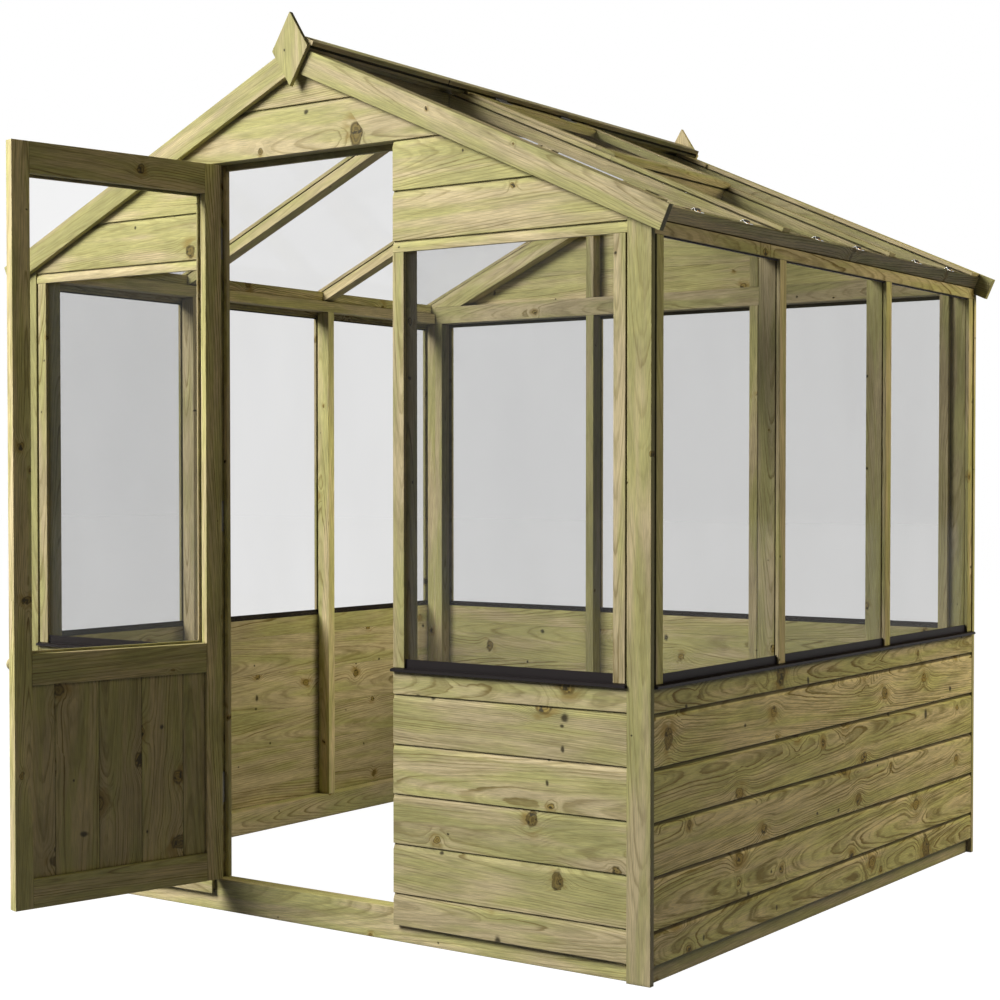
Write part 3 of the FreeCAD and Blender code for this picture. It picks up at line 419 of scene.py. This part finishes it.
def treated_pine():
    """Pressure-treated pine: growth rings that bend round knots, on each board's own grain, with
    painted light piece by piece and painted shade in joints and creases.
    """
    s = Shader("treated_pine")
    grain = s.attribute("grain").outputs["Vector"]
    painted_light_and_tone, warmth, share = s.split(s.attribute("tone").outputs["Vector"])
    figure, spacing, knots = s.split(s.attribute("figure").outputs["Vector"])
    end = s.attribute("end_grain").outputs["Fac"]
    recess = s.attribute("recess").outputs["Fac"]

    gap, radius, dead = knot_field(s, grain, KNOTS, share)
    size = s.math("MAXIMUM", s.math("MULTIPLY", radius, knots), KNOT_LEAST)
    near = s.math("DIVIDE", gap, size)
    falloff = s.math("EXPONENT", s.math("MULTIPLY", s.math("MULTIPLY", near, near), SWELL_FADE))
    swell = s.math("MULTIPLY", s.math("MULTIPLY", size, SWELL), falloff)

    pith = s.vector("LENGTH", s.vector("MULTIPLY", grain, (0.0, 1.0, 1.0)))
    wander = s.math("MULTIPLY", s.noise(grain, WANDER), WANDER_BY)
    waver = s.math("MULTIPLY", s.noise(grain, WAVER), WAVER_BY)
    sway = s.math("MULTIPLY", s.noise(grain, SWAY), SWAY_BY)
    along = s.split(grain)[0]
    drift = s.math("MULTIPLY_ADD", along, TAPER, sway)
    ring = s.math("ADD", s.math("ADD", pith, wander), drift)
    ring = s.math("ADD", ring, s.math("ADD", waver, swell))
    count = s.math("DIVIDE", ring, s.math("MULTIPLY", spacing, RING_GAP))
    late = s.ramp(s.math("FRACT", count), LATE_STOPS)
    year = s.add("TexWhiteNoise", {"W": s.math("FLOOR", count)}, noise_dimensions="1D")
    strength = s.span(s.noise(grain, YEARS), *YEAR_SHOWS)
    year = s.math("MULTIPLY_ADD", year.outputs["Value"], *YEAR_VARIES)
    strength = s.math("MULTIPLY", strength, year)
    strength = s.math("MULTIPLY", strength, s.math("MINIMUM", figure, FIGURE_MOST))
    line = s.math("MULTIPLY", late, strength)
    fibre = s.noise(grain, FIBRE)
    streak = s.noise(s.combined(along, ring, pith), STREAK)
    cloud = s.noise(grain, CLOUD)

    patch = s.math("MULTIPLY_ADD", s.noise(grain, WARM_PATCH), *WARM_VARIES)
    early = s.mix(s.span(s.math("ADD", warmth, patch), *WARM_SHOWS), EARLY_GREEN, EARLY_TAN)
    colour = s.mix(line, early, LATE_BROWN)
    olive = s.math("MULTIPLY", s.span(streak, *STREAK_SHOWS), figure)
    colour = s.mix(olive, colour, STREAK_OLIVE)
    colour = s.scaled(colour, s.span(fibre, *FIBRE_SHADE))
    colour = s.scaled(colour, s.span(cloud, *CLOUD_SHADE))

    resin = s.span(s.noise(grain, RESIN), *RESIN_SHOWS)
    halo = s.math("MULTIPLY", s.span(near, *HALO), resin)
    colour = s.mix(s.math("MULTIPLY", halo, HALO_COVERS), colour, RESIN_BROWN)
    heart = s.span(near, *HEART)
    turns = s.math("MULTIPLY_ADD", gap, KNOT_TURNS, s.noise(grain, KNOT_RINGS))
    turns = s.math("FRACT", turns)
    knot = s.mix(s.span(turns, *KNOT_RING_SHOWS), KNOT_PALE, KNOT_DARK)
    knot = s.mix(s.span(near, *KNOT_RIM), knot, KNOT_DARK)
    crack = s.span(s.noise(grain, KNOT_CRACK), *CRACK_SHOWS)
    crack = s.math("MULTIPLY", crack, s.span(near, *CRACK_REACH))
    rot = s.math("MAXIMUM", crack, s.span(dead, *DEAD_SHOWS))
    knot = s.mix(rot, knot, KNOT_BLACK)
    colour = s.mix(s.math("MULTIPLY", heart, KNOT_COVERS), colour, knot)

    pin_gap, pin_radius, _ = knot_field(s, grain, PIN_KNOTS, PIN_KNOT_SHARE)
    pin_size = s.math("MAXIMUM", s.math("MULTIPLY", pin_radius, knots), PIN_KNOT_LEAST)
    pin = s.span(s.math("DIVIDE", pin_gap, pin_size), *PIN_KNOT_EDGE)
    colour = s.mix(s.math("MULTIPLY", pin, PIN_KNOT_COVERS), colour, KNOT_BLACK)

    # Painted light: each piece made lighter or darker for how the lamps fall on it, times its
    # random tone
    colour = s.scaled(colour, painted_light_and_tone)
    colour = s.scaled(colour, s.span(end, *END_SHADE))
    # Painted shade in the joints, darker the deeper a point lies behind the board's face
    colour = s.mix(s.span(recess, *JOINT_SHADE), colour, PAINTED_SHADE_BROWN)
    # Painted shade in creases and corners, from ambient occlusion, in the same dark brown
    crease_shade = s.add("AmbientOcclusion", {"Distance": NOOK_REACH}, samples=NOOK_SAMPLES).outputs["AO"]
    colour = s.mix(s.span(crease_shade, *NOOK_SHADE), colour, PAINTED_SHADE_BROWN)
    relief = s.math("MULTIPLY_ADD", line, LINE_RELIEF, s.math("MULTIPLY", fibre, FIBRE_RELIEF))
    relief = s.math("MULTIPLY_ADD", streak, STREAK_RELIEF, relief)
    relief = s.math("MULTIPLY_ADD", heart, HEART_RELIEF, relief)
    return s.finish(Base_Color=colour, Roughness=s.span(fibre, *FIBRE_ROUGH),
                    Normal=s.bump(relief, *PINE_BUMP), Specular_IOR_Level=PINE_SPECULAR)


def clear_glazing(name, tint):
    """Thin clear glazing sheet that greys what is behind it, with faint dust."""
    s = Shader(name)
    dust = s.noise(s.object_point(), DUST)
    return s.finish(Base_Color=PANE_GREY, Roughness=s.span(dust, *DUST_ROUGH),
                    Alpha=s.span(dust, *DUST_SHOWS, *tint), IOR=PANE_IOR)


def sill_vinyl():
    """Dark brown moulded strip with a fine stipple."""
    s = Shader("sill_vinyl")
    point = s.object_point()
    stipple = s.noise(point, SILL_STIPPLE)
    colour = s.mix(s.noise(point, SILL_CLOUD), *SILL_BROWNS)
    return s.finish(Base_Color=colour, Roughness=s.span(stipple, *SILL_ROUGH),
                    Normal=s.bump(stipple, *SILL_BUMP), Specular_IOR_Level=SILL_SPECULAR)


def plated_steel():
    """Zinc-plated hinge steel with a mottled bloom and fine drawn lines."""
    s = Shader("plated_steel")
    point = s.object_point()
    drawn = s.noise(point, STEEL_DRAWN)
    colour = s.mix(s.noise(point, STEEL_BLOOM), *STEEL_GREYS)
    return s.finish(Base_Color=colour, Metallic=1.0, Roughness=s.span(drawn, *STEEL_ROUGH),
                    Normal=s.bump(drawn, *METAL_BUMP))


def mill_aluminium():
    """Bare rolled aluminium for the pane clips."""
    s = Shader("mill_aluminium")
    rolled = s.noise(s.object_point(), ALUMINIUM_ROLLED)
    colour = s.mix(rolled, *ALUMINIUM_GREYS)
    return s.finish(Base_Color=colour, Metallic=1.0, Roughness=s.span(rolled, *ALUMINIUM_ROUGH),
                    Normal=s.bump(rolled, *METAL_BUMP))


def brass_plate():
    """Yellow-passivated screw finish, darker in patches."""
    s = Shader("brass_plate")
    patina = s.noise(s.object_point(), BRASS_PATINA)
    colour = s.mix(s.span(patina, *PATINA_SHOWS), *BRASS_YELLOWS)
    return s.finish(Base_Color=colour, Metallic=1.0, Roughness=s.span(patina, *BRASS_ROUGH))


def link(name, mesh):
    """A mesh put in the scene as a piece."""
    made = bpy.data.objects.new(name, mesh)
    bpy.context.scene.collection.objects.link(made)
    return made


def link_shape(name, shape):
    """A finished bmesh put in the scene as a piece."""
    mesh = bpy.data.meshes.new(name)
    shape.to_mesh(mesh)
    shape.free()
    return link(name, mesh)


def solids_of(node):
    """Each solid of a CAD node as triangles: one ends where every edge has met its partner."""
    mesh = frame["nodes"][node].data
    solids, current, waiting = [], [], set()
    for face in mesh.polygons:
        corners = [tuple(round(c, ROUND_TO) for c in mesh.vertices[i].co) for i in face.vertices]
        current.append(corners)
        for edge in zip(corners, corners[1:] + corners[:1]):
            if edge[::-1] in waiting:
                waiting.remove(edge[::-1])
            else:
                waiting.add(edge)
        if not waiting:
            solids.append(current)
            current = []
    return solids + ([current] if current else [])


def corners_of(node):
    """The triangles' corners of each solid of a CAD node."""
    return [[Vector(c) for triangle in solid for c in triangle] for solid in solids_of(node)]


def merged(triangles):
    """A closed mesh of one solid, with flat faces joined whole."""
    shape = bmesh.new()
    corner = {}
    for triangle in triangles:
        for point in triangle:
            if point not in corner:
                corner[point] = shape.verts.new(point)
        shape.faces.new([corner[point] for point in triangle])
    shape.normal_update()
    bmesh.ops.dissolve_limit(shape, angle_limit=FLAT_ANGLE, verts=shape.verts, edges=shape.edges)
    shape.normal_update()
    return shape


def soften(shape):
    """Round the outward edges."""
    edges = [e for e in shape.edges
             if e.is_manifold and e.is_convex and e.calc_face_angle() > SHARP_ANGLE]
    bmesh.ops.bevel(shape, geom=edges, offset=ARRIS, offset_type="OFFSET", segments=ARRIS_STEPS,
                    profile=ROUND_PROFILE, affect="EDGES", clamp_overlap=True)
    shape.normal_update()


def grain_axes(shape, along):
    """The board's length, width and depth as unit vectors."""
    if along is None:
        longest = max(shape.edges, key=lambda e: e.calc_length())
        along = (longest.verts[1].co - longest.verts[0].co).normalized()
    sides = [f for f in shape.faces if abs(f.normal.dot(along)) < SIDE_FACE]
    deep = max(sides, key=lambda f: f.calc_area()).normal.copy()
    deep = (deep - along * deep.dot(along)).normalized()
    return along, deep.cross(along), deep


def timber_piece(node):
    """The boards of one node, arrises softened, each with its own grain, tone, painted light,
    painted joint shade and end faces.
    """
    points, faces, grain, tone, figure, ends, recess = [], [], [], [], [], [], []
    outward = OUTWARD.get(node, Vector())
    look = BOARD_LOOK.get(node, PLAIN_LOOK)
    for k, triangles in enumerate(solids_of(node)):
        draw = random.Random(f"{node}.{k}")
        shape = merged(triangles)
        along, across, deep = grain_axes(shape, GRAIN_ALONG.get(node))
        turn = draw.choice((-1.0, 1.0))
        centre = sum((v.co for v in shape.verts), Vector()) / len(shape.verts)
        width = max(abs((v.co - centre).dot(across)) for v in shape.verts)
        start = Vector((draw.uniform(0.0, GRAIN_RUN),
                        draw.uniform(-1.0, 1.0) * PITH_ACROSS * width,
                        draw.choice((-1.0, 1.0)) * draw.uniform(PITH_NEAR, PITH_FAR)))
        # Painted light: the look's brightness lightens or darkens the whole piece for how light
        # falls on it
        board_tone_and_light = (look.bright * draw.gauss(1.0, TONE_SPREAD),
                      look.warm + draw.uniform(-WARM_SPREAD, WARM_SPREAD), look.share)
        board_figure = (look.figure * draw.uniform(*FIGURE_SPREAD),
                        look.ring * draw.uniform(*RING_SPREAD),
                        look.knot * draw.uniform(*KNOT_SPREAD))
        soften(shape)
        base = len(points)
        face_at = max(v.co.dot(outward) for v in shape.verts)
        shape.verts.index_update()
        for v in shape.verts:
            at = v.co - centre
            points.append(v.co.copy())
            grain.extend(Vector((turn * at.dot(along), at.dot(across), at.dot(deep))) + start)
            tone.extend(board_tone_and_light)
            figure.extend(board_figure)
            # Painted shade for the joints: how far each point lies behind the board's face
            behind = face_at - v.co.dot(outward)
            recess.append(behind * look.joint if behind < RECESS_MOST else 0.0)
        for f in shape.faces:
            faces.append([base + v.index for v in f.verts])
            ends.append(1.0 if abs(f.normal.dot(along)) > END_FACE else 0.0)
        shape.free()
    return timber_mesh(node, points, faces, (grain, tone, figure, ends, recess))


def timber_mesh(node, points, faces, values):
    """A piece that carries what the pine finish reads."""
    mesh = bpy.data.meshes.new(node + "_timber")
    mesh.from_pydata(points, [], faces)
    for (name, kind, domain), numbers in zip(PINE_DATA, values):
        field = "vector" if kind == "FLOAT_VECTOR" else "value"
        mesh.attributes.new(name, kind, domain).data.foreach_set(field, numbers)
    return link(node + "_timber", mesh)


def turned_knob(node, out):
    """Lathe-turned knob in the space of the CAD one, its grain along the turning axis."""
    corners = [v.co for v in frame["nodes"][node].data.vertices]
    side = UP.cross(out)
    axes = (side, UP, out)
    low = [min(c.dot(a) for c in corners) for a in axes]
    high = [max(c.dot(a) for c in corners) for a in axes]
    centre = side * (low[0] + high[0]) / 2 + UP * (low[1] + high[1]) / 2 + out * low[2]
    radius, length = (high[1] - low[1]) / 2, high[2] - low[2]
    points, grain = [], []
    for share, reach in KNOB_PROFILE:
        for k in range(KNOB_SIDES):
            turn = 2 * math.pi * k / KNOB_SIDES
            x, y = radius * share * math.cos(turn), radius * share * math.sin(turn)
            z = length * reach
            points.append(centre + side * x + UP * y + out * z)
            grain.extend((z, x + PITH_NEAR, y))
    count = len(points)
    faces = [list(range(KNOB_SIDES))[::-1], list(range(count - KNOB_SIDES, count))]
    for ring in range(len(KNOB_PROFILE) - 1):
        for k in range(KNOB_SIDES):
            a, b = ring * KNOB_SIDES + k, ring * KNOB_SIDES + (k + 1) % KNOB_SIDES
            faces.append([a, b, b + KNOB_SIDES, a + KNOB_SIDES])
    look = BOARD_LOOK[node]
    tone = [look.bright, look.warm, look.share] * count
    figure = [look.figure, look.ring, look.knot] * count
    values = (grain, tone, figure, [0.0] * len(faces), [0.0] * count)
    knob = timber_mesh(node, points, faces, values)
    knob.data.polygons.foreach_set("use_smooth", [False] + [True] * (len(faces) - 1))
    return knob


def screw_head_tree(name, material):
    """Instances a domed cross-slotted head on every point, square to its facing, spun at random."""
    tree = bpy.data.node_groups.new(name, "GeometryNodeTree")
    face = tree.interface
    face.new_socket("Geometry", in_out="INPUT", socket_type="NodeSocketGeometry")
    for label, kind, value in (("Head Radius", "Float", CLIP_SCREW_R),
                               ("Head Height", "Float", CLIP_SCREW_H), ("Seed", "Int", SPIN_SEED)):
        socket = face.new_socket(label, in_out="INPUT", socket_type="NodeSocket" + kind)
        socket.default_value = value
    face.new_socket("Geometry", in_out="OUTPUT", socket_type="NodeSocketGeometry")
    add = partial(add_node, tree)
    given = add("NodeGroupInput", {}).outputs
    radius, height = given["Head Radius"], given["Head Height"]

    def sized(x, y, z):
        parts = []
        for base, share in ((radius, x), (radius, y), (height, z)):
            times = add("ShaderNodeMath", {0: base, 1: share}, operation="MULTIPLY")
            parts.append(times.outputs[0])
        return add("ShaderNodeCombineXYZ", dict(enumerate(parts))).outputs[0]

    def cut(mesh, size, at):
        cube = add("GeometryNodeMeshCube", {"Size": sized(*size)}).outputs["Mesh"]
        block = add("GeometryNodeTransform", {"Geometry": cube, "Translation": sized(*at)})
        sockets = {"Mesh 1": mesh, "Mesh 2": block.outputs["Geometry"]}
        return add("GeometryNodeMeshBoolean", sockets, operation="DIFFERENCE").outputs["Mesh"]

    ball = add("GeometryNodeMeshUVSphere", {"Segments": SCREW_SIDES, "Rings": SCREW_RINGS})
    sockets = {"Geometry": ball.outputs["Mesh"], "Scale": sized(1.0, 1.0, 1.0)}
    dome = add("GeometryNodeTransform", sockets).outputs["Geometry"]
    for size, at in (UNDERSIDE, *SLOTS):
        dome = cut(dome, size, at)
    facing = add("GeometryNodeInputNamedAttribute", {"Name": "facing"}, data_type="FLOAT_VECTOR")
    sockets = {"Vector": facing.outputs["Attribute"]}
    turn = add("FunctionNodeAlignRotationToVector", sockets, axis="Z")
    sockets = {"Max": math.pi, "Seed": given["Seed"]}
    angle = add("FunctionNodeRandomValue", sockets, data_type="FLOAT")
    angle = [o for o in angle.outputs if o.enabled][0]
    spin = add("FunctionNodeAxisAngleToRotation", {"Axis": (0.0, 0.0, 1.0), "Angle": angle})
    sockets = {"Rotation": turn.outputs["Rotation"], "Rotate By": spin.outputs["Rotation"]}
    turn = add("FunctionNodeRotateRotation", sockets, rotation_space="LOCAL").outputs["Rotation"]
    sockets = {"Points": given["Geometry"], "Instance": dome, "Rotation": turn}
    heads = add("GeometryNodeInstanceOnPoints", sockets).outputs["Instances"]
    real = add("GeometryNodeRealizeInstances", {"Geometry": heads}).outputs["Geometry"]
    done = add("GeometryNodeSetMaterial", {"Geometry": real, "Material": material})
    add("NodeGroupOutput", {"Geometry": done.outputs["Geometry"]})
    return tree


def screw_heads(name, spots, tree, radius, height):
    """Plain mesh of the heads at the given (point, facing) pairs."""
    mesh = bpy.data.meshes.new(name + "_points")
    mesh.from_pydata([at for at, facing in spots], [], [])
    facings = mesh.attributes.new("facing", "FLOAT_VECTOR", "POINT")
    facings.data.foreach_set("vector", [c for at, facing in spots for c in facing])
    made = link(name, mesh)
    grow = made.modifiers.new("heads", "NODES")
    grow.node_group = tree
    ids = {item.name: item.identifier for item in tree.interface.items_tree
           if item.in_out == "INPUT"}
    grow[ids["Head Radius"]] = radius
    grow[ids["Head Height"]] = height
    ready = made.evaluated_get(bpy.context.evaluated_depsgraph_get())
    shape = bpy.data.meshes.new_from_object(ready)
    made.modifiers.remove(grow)
    made.data = shape
    return made


def slope_up(point):
    """Square to the roof slope that a point is on."""
    return ROOF_UP if point.x > 0 else Vector((-ROOF_UP.x, 0.0, ROOF_UP.z))


def spring_clips():
    """Bowed spring clips that hold the panes' feet, each in its CAD plate's place."""
    shape = bmesh.new()
    for corners in corners_of("pane_clips"):
        middle = sum(corners, Vector()) / len(corners)
        up = slope_up(middle)
        down = Vector((up.z, 0.0, -up.x)) if middle.x > 0 else Vector((-up.z, 0.0, up.x))
        tip, heel = min(c.dot(down) for c in corners), max(c.dot(down) for c in corners)
        seat = min(c.dot(up) for c in corners)
        rows = []
        for step, rise in CLIP_BOW + ((heel - tip, 0.0),):
            for lift in (rise, rise + CLIP_T):
                foot = down * (tip + step) + up * (seat + lift)
                rows.append([shape.verts.new(foot + Vector((0.0, middle.y + reach, 0.0)))
                             for reach in CLIP_REACH])
        under, over = rows[0::2], rows[1::2]
        for k in range(len(under) - 1):
            shape.faces.new((over[k][0], over[k][1], over[k + 1][1], over[k + 1][0]))
            shape.faces.new((under[k][0], under[k + 1][0], under[k + 1][1], under[k][1]))
            for side in (0, 1):
                shape.faces.new((under[k][side], over[k][side],
                                 over[k + 1][side], under[k + 1][side]))
        for k in (0, -1):
            shape.faces.new((under[k][0], under[k][1], over[k][1], over[k][0]))
    bmesh.ops.recalc_face_normals(shape, faces=shape.faces)
    return link_shape("spring_clips", shape)


def head_seals():
    """Dark strips at the heads of the side panes, under the battens between the beads."""
    shape = bmesh.new()
    beads = corners_of("side_beads")
    batten_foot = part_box("side_top_battens")[0][2]
    for side in (1.0, -1.0):
        row = sorted((min(c.y for c in b), max(c.y for c in b))
                     for b in beads if b[0].x * side > 0)
        pane_face = min(c.x * side for b in beads for c in b if c.x * side > 0)
        for (_, start), (end, _) in zip(row, row[1:]):
            made = bmesh.ops.create_cube(shape, size=1.0)["verts"]
            size = Vector((HEAD_STRIP_D, end - start, HEAD_STRIP_H))
            middle = Vector((side * (pane_face + HEAD_STRIP_D / 2), (start + end) / 2,
                             batten_foot - HEAD_STRIP_H / 2))
            for v in made:
                v.co = middle + Vector(c * s for c, s in zip(v.co, size))
    edges = [e for e in shape.edges if abs(e.verts[0].co.y - e.verts[1].co.y) > HEAD_STRIP_D]
    bmesh.ops.bevel(shape, geom=edges, offset=HEAD_STRIP_EDGE, segments=ARRIS_STEPS,
                    profile=ROUND_PROFILE, affect="EDGES")
    return link_shape("head_seals", shape)


def clip_screw_spots():
    """Foot and direction of each clip's screw."""
    spots = []
    for corners in corners_of("clip_screws"):
        centre = sum(corners, Vector()) / len(corners)
        facing = slope_up(centre)
        foot = min(c.dot(facing) for c in corners)
        spots.append((centre + facing * (foot - centre.dot(facing)), facing))
    return spots


def leaf_screw_spots(node, pin, along, facing):
    """Three screws on each hinge leaf, staggered about the middle of its plate."""
    away = along.cross(facing)
    spots = []
    for solid in corners_of(node):
        corners = [c - pin for c in solid]
        if sum(c.dot(away) for c in corners) < 0:
            away = -away
        plate = [c for c in corners if c.dot(away) > KNUCKLE_CLEAR]
        middle = (KNUCKLE_CLEAR + max(c.dot(away) for c in plate)) / 2
        start, end = min(c.dot(along) for c in plate), max(c.dot(along) for c in plate)
        level = max(c.dot(facing) for c in plate)
        for share, step in LEAF_SCREWS:
            at = along * (start + share * (end - start)) + away * (middle + step) + facing * level
            spots.append((pin + at, facing))
    return spots


def stand_for(piece, node, material):
    """Finish a piece and let it stand for its CAD node."""
    piece.data.materials.clear()
    piece.data.materials.append(material)
    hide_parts(node)
    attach(piece, BODY_OF[node])


def finish_node(node, material):
    """Give a CAD node that keeps its own shape a finish."""
    shown = frame["nodes"][node]
    shown.data.materials.clear()
    shown.data.materials.append(material)


def area_light(name, lamp, only=None):
    """A soft lamp that the camera doesn't see, for some pieces or for all."""
    light = bpy.data.lights.new(name, "AREA")
    light.shape = "RECTANGLE"
    light.size, light.size_y = lamp.size
    light.energy = lamp.watts
    light.color = lamp.colour
    made = bpy.data.objects.new(name, light)
    made.location = lamp.at
    aim = Vector(lamp.target) - Vector(lamp.at)
    made.rotation_euler = aim.to_track_quat("-Z", "Y").to_euler()
    made.visible_camera = False
    made.light_linking.receiver_collection = only
    made.visible_glossy = only is None
    bpy.context.scene.collection.objects.link(made)


def lit_pieces(name, wanted):
    """The pieces that one lamp lights."""
    group = bpy.data.collections.new(name)
    for piece in bpy.context.scene.objects:
        if piece.type == "MESH" and wanted(piece.name):
            group.objects.link(piece)
    return group


def studio_floor():
    """Pale floor with a faint cloudiness, bright enough to run into the backdrop."""
    s = Shader("studio_floor")
    colour = s.mix(s.noise(s.object_point(), FLOOR_CLOUD), *FLOOR_GREYS)
    material = s.finish(Base_Color=colour, Roughness=FLOOR_ROUGH, Emission_Color=WHITE,
                        Emission_Strength=FLOOR_GLOW)
    mesh = bpy.data.meshes.new("floor")
    h = FLOOR_HALF
    mesh.from_pydata([(-h, -h, 0), (h, -h, 0), (h, h, 0), (-h, h, 0)], [], [(0, 1, 2, 3)])
    mesh.materials.append(material)
    floor = link("floor", mesh)
    floor.visible_diffuse = False


def studio_world():
    """White backdrop for the camera, dim dome light for everything else."""
    world = bpy.data.worlds.new("studio")
    world.use_nodes = True
    world.node_tree.nodes.clear()
    add = partial(add_node, world.node_tree)
    where = add("ShaderNodeTexCoord", {}).outputs["Generated"]
    height = add("ShaderNodeSeparateXYZ", {"Vector": where}).outputs["Z"]
    fade = add("ShaderNodeMapRange", map_range(height, *DOME_FADE)).outputs["Result"]
    dome = add("ShaderNodeBackground", {"Color": DOME_COLOUR, "Strength": fade}).outputs[0]
    backdrop = add("ShaderNodeBackground", {"Color": WHITE, "Strength": 1.0}).outputs[0]
    seen = add("ShaderNodeLightPath", {}).outputs["Is Camera Ray"]
    pick = add("ShaderNodeMixShader", {0: seen, 1: dome, 2: backdrop}).outputs[0]
    add("ShaderNodeOutputWorld", {"Surface": pick})
    bpy.context.scene.world = world


def camera():
    """The photograph's view."""
    lens = bpy.data.cameras.new("camera")
    lens.lens = LENS_MM
    lens.sensor_width = SENSOR_MM
    lens.shift_x, lens.shift_y = SHIFT
    made = bpy.data.objects.new("camera", lens)
    made.location = CAMERA_AT
    made.rotation_euler = (math.pi / 2 - CAMERA_PITCH, 0.0, CAMERA_YAW)
    bpy.context.scene.collection.objects.link(made)
    bpy.context.scene.camera = made


pine = treated_pine()
for node in sorted(frame["nodes"]):
    if node not in GLASS_NODES + HINGE_NODES + OTHER_NODES:
        stand_for(timber_piece(node), node, pine)
glazing = clear_glazing("clear_glazing", PANE_TINT)
door_glazing = clear_glazing("door_glazing", DOOR_PANE_TINT)
for node in GLASS_NODES:
    finish_node(node, door_glazing if node == "door_pane" else glazing)
    frame["nodes"][node].visible_shadow = False
steel = plated_steel()
for node in HINGE_NODES:
    finish_node(node, steel)
vinyl = sill_vinyl()
finish_node("sills", vinyl)
dark_strips = head_seals()
dark_strips.data.materials.append(vinyl)
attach(dark_strips, "frame")
stand_for(spring_clips(), "pane_clips", mill_aluminium())
stand_for(turned_knob("door_knob", DOOR_TURN @ -BACK), "door_knob", pine)

brass = brass_plate()
clip_heads = screw_heads("clip_screw_heads", clip_screw_spots(),
                         screw_head_tree("clip_heads", brass), CLIP_SCREW_R, CLIP_SCREW_H)
stand_for(clip_heads, "clip_screws", brass)
leaf_heads = screw_head_tree("leaf_heads", steel)
for name, leaf, joint, along, facing, body in HINGE_SCREWS:
    spots = leaf_screw_spots(leaf, Vector(JOINTS[joint]["pos_m"]), along, facing)
    heads = screw_heads(name, spots, leaf_heads, LEAF_SCREW_R, LEAF_SCREW_H)
    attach(heads, body)

studio_floor()
studio_world()
weather_side = lit_pieces("weather_side", lambda name: not name.startswith(SHADED_SIDE))
inner_side = lit_pieces("inner_side", lambda name: name.startswith(INNER_SIDE))
door_side = lit_pieces("door_side", lambda name: name.startswith(DOOR_SIDE))
area_light("key", KEY_LAMP)
area_light("fill", FILL_LAMP, weather_side)
area_light("inner", INNER_LAMP, inner_side)
area_light("door", DOOR_LAMP, door_side)
camera()
bpy.context.scene.view_settings.view_transform = "Standard"
